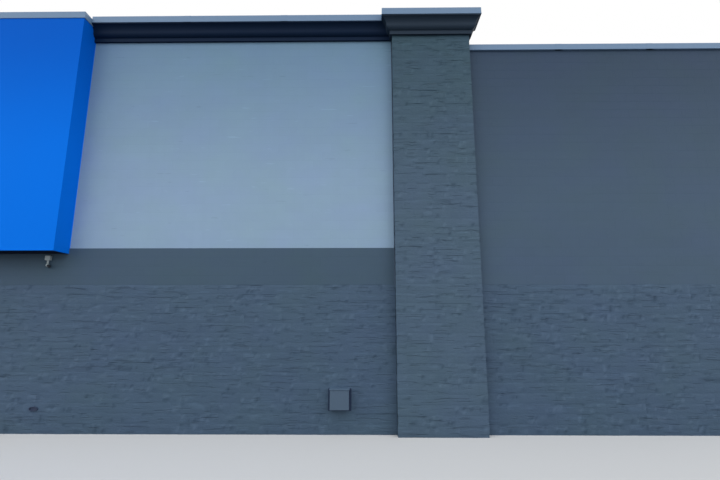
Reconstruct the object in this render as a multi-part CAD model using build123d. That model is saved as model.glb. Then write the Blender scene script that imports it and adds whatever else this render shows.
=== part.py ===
from build123d import *

import os

os.makedirs("parts", exist_ok=True)

# A single-storey supermarket in concrete block, front towards -Y, +X to the right, ground at Z 0.
# The origin lies on the ground in the middle of the building's overall outline. All sizes in millimetres.

# Masonry module: one block with its mortar joint
block_length = 406.4
course = 203.2
wall_thickness = 304.8
split_face_relief = 12.0

# Plan, in whole or half blocks
centre_bay_width = 55 * block_length
pier_width = 4.5 * block_length
wing_width = 16 * block_length
building_depth = 60 * block_length
pier_projection = 206.0

# Heights above the ground
split_face_top = 15 * course
dark_band_top = 19 * course
roof_top = 40 * course
wing_wall_top = 8656.0
crown_bottom = 8928.0
crown_height = 385.0
sign_box_bottom = 3742.0
sign_box_step_down = 62.0

# Floor and roof
floor_rise = 50.0
roof_thickness = 260.0

# Crown moulding: how far its parts stand off the wall face, how tall they are, and how far the
# capital runs on behind the wall face on the pier's outer side
crown_projection = 252.0
crown_fillet_projection = 54.0
crown_fillet_height = 92.0
crown_quirk = 12.0
crown_ogee_lower_height = 114.0
crown_lip_height = 26.0
crown_lip_setback = 16.0
capital_return = 120.0

# Metal copings: folded caps with a drip hem along the foot and a slight fall to the roof
wing_coping_height = 151.0
crown_coping_height = 166.0
coping_overhang = 50.0
coping_back_overhang = 30.0
coping_hem = 6.0
coping_hem_height = 18.0
coping_fall = 14.0

# Projecting sign box
sign_box_width = 7952.0
sign_box_projection = 485.0
sign_box_skin = 60.0
sign_box_coping_lip = 15.0
sign_box_coping_height = 168.0

# Entrance under the sign box
doorway_width = 12 * block_length
frame_setback = 90.0
frame_depth = 115.0
frame_face = 50.0
frame_sill = 150.0
glass_thickness = 12.0
door_opening_width = 2200.0
door_head_height = 2300.0
door_header = 180.0
door_thickness = 45.0
door_stile = 60.0
door_gap = 6.0

# Small fittings on the front
vent_width = 388.0
vent_height = 406.0
vent_depth = 200.0
vent_bottom = 512.0
vent_lid = 21.0
vent_lid_lip = 10.0
vent_lid_fall = 7.0
vent_from_box = 6026.0
camera_from_box = 415.0
camera_mount_width = 115.0
camera_mount_height = 100.0
camera_mount_depth = 76.0
camera_mount_top = 3690.0
camera_stem_radius = 20.0
camera_stem_length = 78.0
camera_head_radius = 36.0
camera_ball_drop = 30.0
camera_barrel_radius = 29.0
camera_barrel_length = 85.0
camera_aim = (0.84, -0.36, -0.40)
outlet_from_box = 316.0
outlet_width = 180.0
outlet_height = 90.0
outlet_centre_height = 492.0
outlet_stand_off = 22.0
outlet_rim = 14.0
outlet_back = 4.0

# Values that follow from those above
centre_x = centre_bay_width / 2
pier_x = centre_x + pier_width
corner_x = pier_x + wing_width
box_x = sign_box_width / 2
front_reach = sign_box_projection + sign_box_coping_lip
front_y = -(building_depth + front_reach + coping_overhang) / 2 + front_reach
back_y = front_y + building_depth
inner_front_y = front_y + wall_thickness
inner_back_y = back_y - wall_thickness
inner_x = corner_x - wall_thickness
pier_front_y = front_y - pier_projection - split_face_relief
crown_top = crown_bottom + crown_height
sign_box_top = crown_top - sign_box_step_down
crown_coping_top = crown_top + crown_coping_height
wing_coping_top = wing_wall_top + wing_coping_height


def bar(x, y, z):
    """A rectangular solid between the low and high value given for each axis."""
    size = [high - low for low, high in (x, y, z)]
    middle = [(high + low) / 2 for low, high in (x, y, z)]
    return Pos(*middle) * Box(*size)


def raised(outline, bottom, top):
    """A plan outline pulled up from one height to another."""
    face = make_face(Polyline(*outline, close=True))
    return Pos(0, 0, bottom) * extrude(face, top - bottom, dir=(0, 0, 1))


def save(name, shape):
    export_step(shape, f"parts/{name}.step")


def save_pair(name, right_hand):
    """The right-hand piece and its mirror image on the left."""
    save(name + "_right", right_hand)
    save(name + "_left", mirror(right_hand, about=Plane.YZ))


def lower_walls():
    """Split-face block up to the fifteenth course, all round, with the doorway left open."""
    rough_front_y = front_y - split_face_relief
    rough_corner_x = corner_x + split_face_relief
    rough_back_y = back_y + split_face_relief
    rise = (0, split_face_top)
    save_pair(
        "front_split_face_wall",
        bar((doorway_width / 2, centre_x), (rough_front_y, inner_front_y), rise),
    )
    save_pair(
        "wing_split_face_wall",
        bar((pier_x, rough_corner_x), (rough_front_y, inner_front_y), rise),
    )
    save_pair(
        "side_split_face_wall",
        bar((inner_x, rough_corner_x), (inner_front_y, inner_back_y), rise),
    )
    save(
        "back_split_face_wall",
        bar((-rough_corner_x, rough_corner_x), (inner_back_y, rough_back_y), rise),
    )


def upper_walls():
    """Smooth painted block above the split face, up to the parapets."""
    front = (front_y, inner_front_y)
    rise = (split_face_top, wing_wall_top)
    save("front_dark_band", bar((-centre_x, centre_x), front, (split_face_top, dark_band_top)))
    save_pair("front_light_wall", bar((box_x, centre_x), front, (dark_band_top, crown_top)))
    save("sign_box_backing_wall", bar((-box_x, box_x), front, (dark_band_top, sign_box_top)))
    save_pair("wing_smooth_wall", bar((pier_x, corner_x), front, rise))
    save_pair("side_smooth_wall", bar((inner_x, corner_x), (inner_front_y, inner_back_y), rise))
    save("back_smooth_wall", bar((-corner_x, corner_x), (inner_back_y, back_y), rise))


def piers():
    """Split-face piers that stand out from the front and rise past the wing parapets."""
    save_pair(
        "front_pier",
        bar((centre_x, pier_x), (pier_front_y, inner_front_y), (0, crown_top)),
    )


def crown_profile():
    """The crown's section, a fillet, an ogee and a lip: X is the distance off the wall, Y the height."""
    fillet_top = crown_bottom + crown_fillet_height
    lip_bottom = crown_top - crown_lip_height
    lip = crown_projection - crown_lip_setback
    ogee_foot = (crown_fillet_projection - crown_quirk, fillet_top)
    ogee_head = (lip - crown_quirk, lip_bottom)
    ogee_turn = ((ogee_foot[0] + ogee_head[0]) / 2, fillet_top + crown_ogee_lower_height)
    edges = [
        Polyline(
            (0, crown_bottom),
            (crown_fillet_projection, crown_bottom),
            (crown_fillet_projection, fillet_top),
            ogee_foot,
        ),
        TangentArc(ogee_turn, ogee_foot, tangent=(0, -1)),
        TangentArc(ogee_turn, ogee_head, tangent=(0, 1)),
        Polyline(ogee_head, (lip, lip_bottom), (lip, crown_top), (0, crown_top), (0, crown_bottom)),
    ]
    return make_face(Wire(Curve() + edges))


def crown_runs():
    """The crown from the sign box to the pier and round the pier's three free sides, mitred."""
    path = Polyline(
        (box_x, front_y),
        (centre_x, front_y),
        (centre_x, pier_front_y),
        (pier_x, pier_front_y),
        (pier_x, front_y + capital_return),
    )
    start = Plane(origin=(box_x, front_y, 0), x_dir=(0, -1, 0), z_dir=(-1, 0, 0))
    whole = sweep(start * crown_profile(), path=path, transition=Transition.RIGHT)
    whole -= sign_box_coping()
    mitre = Plane(origin=(centre_x, front_y, 0), z_dir=(1, -1, 0))
    save_pair("front_cornice", split(whole, bisect_by=mitre, keep=Keep.BOTTOM))
    save_pair("pier_capital", split(whole, bisect_by=mitre, keep=Keep.TOP))


def hemmed(outline_at, bottom, top):
    """A flat metal cap whose lower edge is folded out into a drip; the outline is given by its inset."""
    drip = raised(outline_at(0), bottom, bottom + coping_hem_height)
    return drip + raised(outline_at(coping_hem), bottom, top)


def crown_coping():
    """The metal cap over the raised parapet and over the whole top of the pier."""
    wall_back = inner_front_y + coping_back_overhang
    return_end = front_y + capital_return + crown_lip_setback

    def outline_at(inset):
        reach = crown_projection - inset
        return [
            (box_x, front_y - reach),
            (centre_x - reach, front_y - reach),
            (centre_x - reach, pier_front_y - reach),
            (pier_x + reach, pier_front_y - reach),
            (pier_x + reach, return_end - inset),
            (pier_x + coping_back_overhang - inset, return_end - inset),
            (pier_x + coping_back_overhang - inset, wall_back - inset),
            (box_x, wall_back - inset),
        ]

    cap = hemmed(outline_at, crown_top, crown_coping_top)
    save_pair("crown_coping", cap - sign_box_coping())


def parapet_cap(face_point, outward, outline):
    """A cap of folded section along one wall, sloped to the roof and cut to a mitred plan outline."""
    inside = -wall_thickness - coping_back_overhang
    section = [
        (inside, 0),
        (coping_overhang, 0),
        (coping_overhang, coping_hem_height),
        (coping_overhang - coping_hem, coping_hem_height + coping_hem),
        (coping_overhang - coping_hem, wing_coping_height),
        (inside, wing_coping_height - coping_fall),
    ]
    plane = Plane(
        origin=(*face_point, wing_wall_top),
        x_dir=(*outward, 0),
        z_dir=Vector(*outward, 0).cross(Vector(0, 0, 1)),
    )
    face = plane * make_face(Polyline(*section, close=True))
    run = extrude(face, amount=2 * corner_x + building_depth, both=True)
    return run & raised(outline, wing_wall_top, wing_coping_top)


def parapet_copings():
    """Metal caps over the wing, side and back parapets, mitred at every corner."""
    outer_x = corner_x + coping_overhang
    outer_front = front_y - coping_overhang
    outer_back = back_y + coping_overhang
    inside_x = inner_x - coping_back_overhang
    inside_front = inner_front_y + coping_back_overhang
    inside_back = inner_back_y - coping_back_overhang
    wing = [
        (pier_x, outer_front),
        (outer_x, outer_front),
        (inside_x, inside_front),
        (pier_x, inside_front),
    ]
    side = [
        (outer_x, outer_front),
        (outer_x, outer_back),
        (inside_x, inside_back),
        (inside_x, inside_front),
    ]
    back = [
        (outer_x, outer_back),
        (-outer_x, outer_back),
        (-inside_x, inside_back),
        (inside_x, inside_back),
    ]
    save_pair("wing_coping", parapet_cap((corner_x, front_y), (0, -1), wing))
    save_pair("side_coping", parapet_cap((corner_x, front_y), (1, 0), side))
    save("back_coping", parapet_cap((0, back_y), (0, 1), back))


def floor_and_roof():
    """The floor slab, with its tongue in the doorway, and the flat roof behind the parapets."""
    inside_x = (-inner_x, inner_x)
    inside_y = (inner_front_y, inner_back_y)
    floor = bar(inside_x, inside_y, (0, floor_rise))
    floor += bar((-doorway_width / 2, doorway_width / 2), (front_y, inner_front_y), (0, floor_rise))
    save("floor_slab", floor)
    save("roof_deck", bar(inside_x, inside_y, (roof_top - roof_thickness, roof_top)))


def sign_box_coping():
    """The metal cap over the sign box and the wall behind it."""
    wall_back = inner_front_y + coping_back_overhang

    def outline_at(inset):
        lip_x = box_x + sign_box_coping_lip - inset
        lip_y = front_y - sign_box_projection - sign_box_coping_lip + inset
        return [
            (-lip_x, lip_y),
            (lip_x, lip_y),
            (lip_x, front_y),
            (box_x, front_y),
            (box_x, wall_back - inset),
            (-box_x, wall_back - inset),
            (-box_x, front_y),
            (-lip_x, front_y),
        ]

    return hemmed(outline_at, sign_box_top, sign_box_top + sign_box_coping_height)


def sign_box():
    """The blank blue box that stands off the wall over the entrance, hollow behind its panels."""
    face_y = front_y - sign_box_projection
    behind_face = face_y + sign_box_skin
    rise = (sign_box_bottom, sign_box_top)
    save("sign_box_front", bar((-box_x, box_x), (face_y, behind_face), rise))
    save_pair("sign_box_side", bar((box_x - sign_box_skin, box_x), (behind_face, front_y), rise))
    save(
        "sign_box_soffit",
        bar(
            (sign_box_skin - box_x, box_x - sign_box_skin),
            (behind_face, front_y),
            (sign_box_bottom, sign_box_bottom + sign_box_skin),
        ),
    )
    save("sign_box_coping", sign_box_coping())


def entrance():
    """A glazed screen in the doorway with a closed pair of sliding doors."""
    half = doorway_width / 2
    opening = door_opening_width / 2
    y = (front_y + frame_setback, front_y + frame_setback + frame_depth)
    frame = bar((-half, half), y, (floor_rise, split_face_top))
    frame -= bar((-opening, opening), y, (floor_rise, door_head_height))
    lights_x = [
        (frame_face - half, -opening - frame_face),
        (-opening, opening),
        (opening + frame_face, half - frame_face),
    ]
    for side_light in (lights_x[0], lights_x[2]):
        frame -= bar(side_light, y, (floor_rise + frame_sill, door_head_height))
    for transom_light in lights_x:
        frame -= bar(transom_light, y, (door_head_height + door_header, split_face_top - frame_face))
    save("entrance_frame", frame)

    rebate = frame_face / 2
    glass_y = (y[1], y[1] + glass_thickness)
    glass = bar(
        (rebate - half, half - rebate),
        glass_y,
        (floor_rise + frame_sill - rebate, split_face_top - rebate),
    )
    glass -= bar((-opening - rebate, opening + rebate), glass_y, (0, door_head_height + rebate))
    save("entrance_glass", glass)

    leaf_x = (door_gap / 2, opening - door_gap)
    leaf_z = (floor_rise + door_gap, door_head_height)
    leaf_middle = (y[0] + y[1]) / 2
    leaf_y = (leaf_middle - door_thickness / 2, leaf_middle + door_thickness / 2)
    pane_x = (leaf_x[0] + door_stile, leaf_x[1] - door_stile)
    pane_z = (leaf_z[0] + frame_sill, leaf_z[1] - door_stile)
    pane_y = (leaf_middle - glass_thickness / 2, leaf_middle + glass_thickness / 2)
    save_pair("entrance_door", bar(leaf_x, leaf_y, leaf_z) - bar(pane_x, leaf_y, pane_z))
    save_pair("entrance_door_glass", bar(pane_x, pane_y, pane_z))


def vent_box():
    """A painted sheet-metal vent box on the wall, with a lid that slopes to the front."""
    wall_y = front_y - split_face_relief
    middle = box_x + vent_from_box
    section = [
        (wall_y, vent_bottom),
        (wall_y - vent_depth, vent_bottom),
        (wall_y - vent_depth, vent_bottom + vent_height - vent_lid),
        (wall_y - vent_depth - vent_lid_lip, vent_bottom + vent_height - vent_lid),
        (wall_y - vent_depth - vent_lid_lip, vent_bottom + vent_height - vent_lid_fall),
        (wall_y, vent_bottom + vent_height),
    ]
    start = Plane(origin=(middle - vent_width / 2, 0, 0), x_dir=(0, 1, 0), z_dir=(1, 0, 0))
    face = start * make_face(Polyline(*section, close=True))
    save("wall_vent_box", extrude(face, vent_width, dir=(1, 0, 0)))


def security_camera():
    """A small camera under the sign box: a wall box with a stem, and a round head below it."""
    middle = box_x - camera_from_box
    mount_bottom = camera_mount_top - camera_mount_height
    stem_y = front_y - camera_mount_depth / 2
    stem_bottom = mount_bottom - camera_stem_length
    mount = bar(
        (middle - camera_mount_width / 2, middle + camera_mount_width / 2),
        (front_y - camera_mount_depth, front_y),
        (mount_bottom, camera_mount_top),
    )
    mount += Pos(middle, stem_y, stem_bottom) * Cylinder(
        camera_stem_radius, camera_stem_length, align=(Align.CENTER, Align.CENTER, Align.MIN)
    )
    save("camera_mount", mount)
    ball_centre = (middle, stem_y, stem_bottom - camera_ball_drop)
    head = Pos(*ball_centre) * Sphere(camera_head_radius)
    barrel = Plane(origin=ball_centre, z_dir=camera_aim)
    head += barrel * Cylinder(
        camera_barrel_radius, camera_barrel_length, align=(Align.CENTER, Align.CENTER, Align.MIN)
    )
    head -= bar(
        (middle - camera_mount_width, middle + camera_mount_width),
        (stem_y - camera_mount_width, stem_y + camera_mount_width),
        (stem_bottom, stem_bottom + camera_mount_width),
    )
    save("camera_head", head)


def wall_outlet():
    """A small oval outlet low on the wall, a collar round a dark recess."""
    collar = Plane(
        origin=(box_x - outlet_from_box, front_y - split_face_relief, outlet_centre_height),
        x_dir=(1, 0, 0),
        z_dir=(0, -1, 0),
    )
    shape = extrude(collar * Ellipse(outlet_width / 2, outlet_height / 2), outlet_stand_off)
    recess = Pos(0, 0, outlet_back) * Ellipse(
        outlet_width / 2 - outlet_rim, outlet_height / 2 - outlet_rim
    )
    shape -= extrude(collar * recess, outlet_stand_off)
    save("wall_outlet", shape)


lower_walls()
upper_walls()
piers()
crown_runs()
crown_coping()
parapet_copings()
floor_and_roof()
sign_box()
entrance()
vent_box()
security_camera()
wall_outlet()
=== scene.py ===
# The looks of a single-storey supermarket in painted concrete block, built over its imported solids.
# Metres throughout, in the frame of the solids: front towards -Y, +X to the right, ground at Z 0.
import logging
import math
from collections.abc import Callable, Sequence
from dataclasses import dataclass, replace
from enum import Enum
from functools import cache
from typing import Any

import bpy
import numpy as np
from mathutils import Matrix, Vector


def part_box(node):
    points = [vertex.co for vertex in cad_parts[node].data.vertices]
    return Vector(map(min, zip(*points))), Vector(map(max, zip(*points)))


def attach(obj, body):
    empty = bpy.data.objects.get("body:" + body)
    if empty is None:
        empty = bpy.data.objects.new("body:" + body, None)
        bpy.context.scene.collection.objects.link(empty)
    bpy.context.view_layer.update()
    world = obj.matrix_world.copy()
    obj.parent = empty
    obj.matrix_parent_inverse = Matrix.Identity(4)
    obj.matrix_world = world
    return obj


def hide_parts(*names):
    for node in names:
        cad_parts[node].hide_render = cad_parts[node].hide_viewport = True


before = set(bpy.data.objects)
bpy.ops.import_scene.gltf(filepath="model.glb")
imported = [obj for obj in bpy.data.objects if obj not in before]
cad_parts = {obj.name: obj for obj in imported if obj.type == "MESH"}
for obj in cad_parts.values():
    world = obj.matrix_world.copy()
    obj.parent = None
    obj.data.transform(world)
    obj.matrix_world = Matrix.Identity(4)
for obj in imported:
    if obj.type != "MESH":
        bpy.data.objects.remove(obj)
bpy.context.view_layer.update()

Colour = tuple[float, float, float]
Pair = tuple[float, float]
Link = bpy.types.NodeSocket
Operand = Any
Piece = bpy.types.Object

BODY = "root"
BLOCK_LENGTH = 0.4064
HALF_BLOCK = BLOCK_LENGTH / 2
COURSE = 0.2032
JOINT_HALF_WIDTH = 0.005
FINEST_STEP = 0.0025
ROUNDING = 1e-9
FRONT_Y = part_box("front_dark_band")[0].y
INNER_FRONT_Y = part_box("front_dark_band")[1].y
OUTWARDS = Vector((0.0, -1.0, 0.0))
UPWARDS = Vector((0.0, 0.0, 1.0))

log = logging.getLogger("supermarket")


def srgb(*channels: float) -> Colour:
    """Red, green and blue as a screen shows them, from 0 to 255, made linear."""
    shares = [channel / 255 for channel in channels]
    return tuple(c / 12.92 if c <= 0.04045 else ((c + 0.055) / 1.055) ** 2.4 for c in shares)


def reckoning(operation: str, reflected: bool = False) -> Callable[..., "Value"]:
    """Makes one of Value's methods.

    Args:
        operation: The Math node's operation.
        reflected: Whether the value itself comes last.

    Returns:
        A method that adds the node.
    """

    def method(self: "Value", *others: Operand) -> "Value":
        """Adds the Math node over the value and the others."""
        operands = (*others, self) if reflected else (self, *others)
        return self.graph.value("ShaderNodeMath", {"operation": operation}, dict(enumerate(operands)))

    return method


class Value:
    """A socket that carries one number and can be reckoned with like a Python number.

    Its remainder is never negative, floor is the whole number below, and least and most pick one of two.
    """

    __add__ = __radd__ = reckoning("ADD")
    __sub__ = reckoning("SUBTRACT")
    __rsub__ = reckoning("SUBTRACT", reflected=True)
    __mul__ = __rmul__ = reckoning("MULTIPLY")
    __truediv__ = reckoning("DIVIDE")
    __mod__ = reckoning("FLOORED_MODULO")
    floor = reckoning("FLOOR")
    least = reckoning("MINIMUM")
    most = reckoning("MAXIMUM")

    def __init__(self, graph: "Graph", socket: Link) -> None:
        """Keeps the socket and the graph that it belongs to."""
        self.graph = graph
        self.socket = socket

    def ramp(self, low: float, high: float) -> "Value":
        """A soft step.

        Args:
            low: Where the step starts.
            high: Where the step ends; below low for a step downwards.

        Returns:
            0 before the step, 1 after it, with an even curve between.
        """
        falls = high < low
        inputs = {0: self, 1: min(low, high), 2: max(low, high), 3: float(falls), 4: float(not falls)}
        return self.graph.value("ShaderNodeMapRange", {"interpolation_type": "SMOOTHSTEP"}, inputs)


class Graph:
    """The nodes of one material or world."""

    def __init__(self, tree: bpy.types.NodeTree) -> None:
        """Empties the tree, ready for new nodes."""
        tree.nodes.clear()
        self.tree = tree

    def node(self, kind: str, settings: dict[str, Any], inputs: dict[Any, Operand]) -> bpy.types.Node:
        """Adds one node.

        Args:
            kind: Its type.
            settings: Its own settings, set before the sockets.
            inputs: Values or links by socket name or number.

        Returns:
            The new node.
        """
        node = self.tree.nodes.new(kind)
        for name, value in settings.items():
            setattr(node, name, value)
        for key, value in inputs.items():
            socket = node.inputs[key]
            given = value.socket if isinstance(value, Value) else value
            if isinstance(given, Link):
                self.tree.links.new(given, socket)
            else:
                socket.default_value = (*given, 1.0) if socket.type == "RGBA" else given
        return node

    def value(self, kind: str, settings: dict[str, Any], inputs: dict[Any, Operand]) -> Value:
        """Adds one node and takes its first output as a number."""
        return Value(self, self.node(kind, settings, inputs).outputs[0])

    def position(self) -> Link:
        """Where the point lies, in the frame of the solids."""
        return self.node("ShaderNodeTexCoord", {}, {}).outputs["Object"]

    def axes(self) -> list[Value]:
        """The position's three numbers."""
        parts = self.node("ShaderNodeSeparateXYZ", {}, {0: self.position()}).outputs
        return [Value(self, part) for part in parts]

    def vector(self, x: Operand, y: Operand, z: Operand) -> Link:
        """Three numbers joined."""
        return self.node("ShaderNodeCombineXYZ", {}, {0: x, 1: y, 2: z}).outputs[0]

    def times(self, first: Operand, second: Operand) -> Link:
        """Two colours or vectors multiplied, number by number."""
        inputs = {0: first, 1: second}
        return self.node("ShaderNodeVectorMath", {"operation": "MULTIPLY"}, inputs).outputs[0]

    def noise(self, across: float, up: float = 0.0, detail: float = 2.0, rough: float = 0.5) -> Value:
        """Soft noise over the building.

        Args:
            across: Its repeats a metre.
            up: Its repeats a metre upwards, where they differ.
            detail: How many finer layers it has.
            rough: How strong the finer layers are.

        Returns:
            The noise, about 0.5 on average.
        """
        place = self.times(self.position(), (across, across, up or across))
        inputs = {"Vector": place, "Scale": 1.0, "Detail": detail, "Roughness": rough}
        return self.value("ShaderNodeTexNoise", {}, inputs)

    def chance(self, vector: Operand) -> Value:
        """One random number from 0 to 1 for each place."""
        return self.value("ShaderNodeTexWhiteNoise", {}, {"Vector": vector})

    def mix(self, share: Operand, first: Operand, second: Operand) -> Link:
        """Blends from the first colour at a share of 0 to the second at 1."""
        inputs = {0: share, 6: first, 7: second}
        return self.node("ShaderNodeMix", {"data_type": "RGBA"}, inputs).outputs[2]

    def tone(self, colour: Operand, strength: Value, fading: Operand = 0.0) -> Link:
        """Makes a colour lighter by the strength, and turns it from blue towards green by the fading."""
        factors = self.vector(strength, strength + fading * 0.5, strength - fading)
        return self.times(colour, factors)

    def surface(self, colour: Operand, rough: Operand, height: Value | None, **more: float) -> None:
        """Ends a material in one principled surface.

        Args:
            colour: Its colour.
            rough: Its roughness.
            height: Its relief in metres; None for a flat one.
            more: Its further values, by socket name with low lines for spaces.
        """
        inputs = {"Base Color": colour, "Roughness": rough}
        inputs |= {name.replace("_", " "): value for name, value in more.items()}
        if height:
            inputs["Normal"] = self.node("ShaderNodeBump", {}, {"Height": height, "Distance": 1.0}).outputs[0]
        shader = self.node("ShaderNodeBsdfPrincipled", {}, inputs)
        self.node("ShaderNodeOutputMaterial", {}, {"Surface": shader.outputs[0]})


@dataclass(frozen=True)
class Finish:
    """A finish with the record's slot that it belongs to."""

    name: str
    slot: str
    colour: Colour

    @cache
    def material(self) -> bpy.types.Material:
        """Makes the Blender material, once.

        Returns:
            The material.
        """
        made = bpy.data.materials.new(self.name)
        made.use_nodes = True
        self.draw(Graph(made.node_tree))
        return made

    def draw(self, graph: Graph) -> None:
        """Draws the finish's nodes; each kind of finish has its own."""
        raise NotImplementedError


@dataclass(frozen=True)
class BlockPaint(Finish):
    """Masonry paint on concrete block, with its joints, level strokes of painted shade and painted highlight,
    and a little dirt.

    Towards the parapet the paint shades off into its top colour, which is painted shade: darker towards the
    top.
    """

    painted_shade_top_colour: Colour
    shade_from: float = 4.2
    shade_to: float = 9.6
    grain: float = 0.0016
    stroke_painted_light_and_shade: float = 0.05
    stroke_from: float = 0.66
    stroke_edge: float = 0.08
    stroke_depth: float = 0.0
    rough: float = 0.0
    patch: float = 0.10
    fading: float = 0.16
    block_tone: float = 0.02
    drip: float = 0.03
    joint_shade: float = 0.02
    joint_depth: float = 0.0
    base_dirt: float = 0.08
    dirt_height: float = 0.55
    gloss: float = 0.62

    def draw(self, graph: Graph) -> None:
        """Draws paint that follows the running bond.

        Args:
            graph: Takes the nodes.
        """
        x, y, z = graph.axes()
        row = (z / COURSE).floor()
        along = (x + y - FRONT_Y) / BLOCK_LENGTH + (row % 2.0) * 0.5
        across = along % 1.0
        up = (z / COURSE) % 1.0
        to_head = across.least(1.0 - across) * BLOCK_LENGTH
        to_bed = up.least(1.0 - up) * COURSE
        joint = to_head.least(to_bed).ramp(0.007, 0.002)
        block = graph.chance(graph.vector(along.floor(), row, 0.0)) - 0.5
        patches = graph.noise(0.5, 0.8, 4.0, 0.6) - 0.5
        strokes = graph.noise(2.2, 21.0)
        # Level strokes: the dark ones are sunk in the bump and painted shade in the colour, the light ones
        # are painted highlight.
        sunk_and_painted_shade = strokes.ramp(self.stroke_from, self.stroke_from + self.stroke_edge)
        painted_highlight = strokes.ramp(1.0 - self.stroke_from, 1.0 - self.stroke_edge - self.stroke_from)
        grain = graph.noise(170.0, detail=3.0, rough=0.65)
        chips = graph.noise(13.0, 26.0, 6.0, 0.68)
        drips = graph.noise(7.0, 0.35, 3.0) - 0.5
        fading = graph.noise(0.9, 1.3, 3.0) - 0.5
        dirt = z.ramp(self.dirt_height, 0.0) * (0.6 + drips)
        strength = (
            1.0
            + block * self.block_tone
            + patches * self.patch
            + (painted_highlight - sunk_and_painted_shade) * self.stroke_painted_light_and_shade
            + drips * self.drip
            + (grain - 0.5) * 0.05
            - joint * self.joint_shade
            - dirt * self.base_dirt
        )
        height = grain * self.grain + chips * self.rough - joint * self.joint_depth - sunk_and_painted_shade * self.stroke_depth
        # Painted shade: the colour darkens towards the top of the wall.
        colour = graph.mix(z.ramp(self.shade_from, self.shade_to), self.colour, self.painted_shade_top_colour)
        colour = graph.tone(colour, strength, fading * self.fading)
        gloss = (self.gloss + (grain - 0.5) * 0.2 + joint * 0.1).least(1.0)
        graph.surface(colour, gloss, height, Specular_IOR_Level=0.2)


@dataclass(frozen=True)
class Layer:
    """Soft noise in a coat: how fine it is, and how much of it shows in tone, gloss and height."""

    across: float
    up: float = 0.0
    detail: float = 2.0
    rough: float = 0.5
    tone: float = 0.0
    gloss: float = 0.0
    height: float = 0.0


@dataclass(frozen=True)
class Coat(Finish):
    """A finish with layers of soft noise over its colour.

    Further values of its surface go by socket name, with low lines for spaces.
    """

    gloss: float
    layers: tuple[Layer, ...]
    specular: float = 0.5
    further: tuple[tuple[str, float], ...] = ()

    def draw(self, graph: Graph) -> None:
        """Draws the layers, one over another.

        Args:
            graph: Takes the nodes.
        """
        colour, tone, height = self.ground(graph)
        gloss = self.gloss
        for layer in self.layers:
            noise = graph.noise(layer.across, layer.up, layer.detail, layer.rough) - 0.5
            tone = tone + noise * layer.tone
            gloss = gloss + noise * layer.gloss
            height = height + noise * layer.height
        colour = graph.tone(colour, tone)
        graph.surface(colour, gloss, height, Specular_IOR_Level=self.specular, **dict(self.further))

    def ground(self, graph: Graph) -> tuple[Operand, Operand, Operand]:
        """The colour, tone and height under the layers, which a coat may draw in the graph."""
        return self.colour, 1.0, 0.0


@dataclass(frozen=True, kw_only=True)
class SignPaint(Coat):
    """Deep blue paint on the flat panels of the sign box, with painted light that makes it lighter towards
    its foot.
    """

    painted_light_low_colour: Colour
    bottom: float
    top: float

    def ground(self, graph: Graph) -> tuple[Operand, Operand, Operand]:
        """Painted light: a soft change from the top colour to a lighter one at the foot."""
        share = graph.axes()[2].ramp(self.bottom, self.top)
        return graph.mix(share, self.painted_light_low_colour, self.colour), 1.0, 0.0


@dataclass(frozen=True)
class Concrete(Coat):
    """Power-floated concrete with fine aggregate, in sawn bays."""

    bay: float = 4.0

    def ground(self, graph: Graph) -> tuple[Operand, Operand, Operand]:
        """The sawn joints, darker than the bays and sunk.

        Args:
            graph: Takes the nodes.

        Returns:
            Colour, tone and height.
        """
        bay_x, bay_y = ((axis / self.bay) % 1.0 for axis in graph.axes()[:2])
        edge = bay_x.least(1.0 - bay_x).least(bay_y.least(1.0 - bay_y)) * self.bay
        joint = edge.ramp(0.005, 0.002)
        return self.colour, 1.0 - joint * 0.5, joint * -0.004


@dataclass(frozen=True)
class Membrane(Coat):
    """Single-ply roof sheet, dusty, with patches of dirt where water stands."""

    def ground(self, graph: Graph) -> tuple[Operand, Operand, Operand]:
        """The patches of dirt."""
        ponds = graph.noise(0.35, detail=5.0, rough=0.6)
        return self.colour, 1.0 - ponds.ramp(0.5, 0.66) * 0.07, 0.0


# The top colours of the block paints are painted shade, darker towards the parapet.
DARK_PAINTED_SHADE_TOP = srgb(47, 66, 88)
DARK_PAINT = BlockPaint("dark_smooth_paint", "smooth_block_dark", srgb(69, 89, 110), DARK_PAINTED_SHADE_TOP)
BAND_PAINT = replace(DARK_PAINT, name="dark_band_paint", colour=srgb(65, 86, 105))
FAR_DARK_PAINT = replace(DARK_PAINT, name="far_smooth_paint", joint_shade=0.06, joint_depth=0.002)
LIGHT_PAINT = BlockPaint(
    "light_smooth_paint",
    "smooth_block_light",
    srgb(136, 162, 188),
    # painted shade at the top of the light panel
    srgb(102, 133, 161),
    stroke_painted_light_and_shade=0.15,
    stroke_from=0.70,
)
SPLIT_PAINT = BlockPaint(
    "split_face_paint",
    "split_face_block",
    srgb(68, 89, 111),
    DARK_PAINTED_SHADE_TOP,
    stroke_painted_light_and_shade=0.13,
    stroke_from=0.61,
    stroke_depth=0.004,
    rough=0.007,
)
FAR_SPLIT_PAINT = replace(SPLIT_PAINT, name="far_split_face_paint")
PIER_PAINT = replace(SPLIT_PAINT, name="pier_paint", colour=srgb(72, 93, 113), painted_shade_top_colour=srgb(51, 76, 91))
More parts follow.
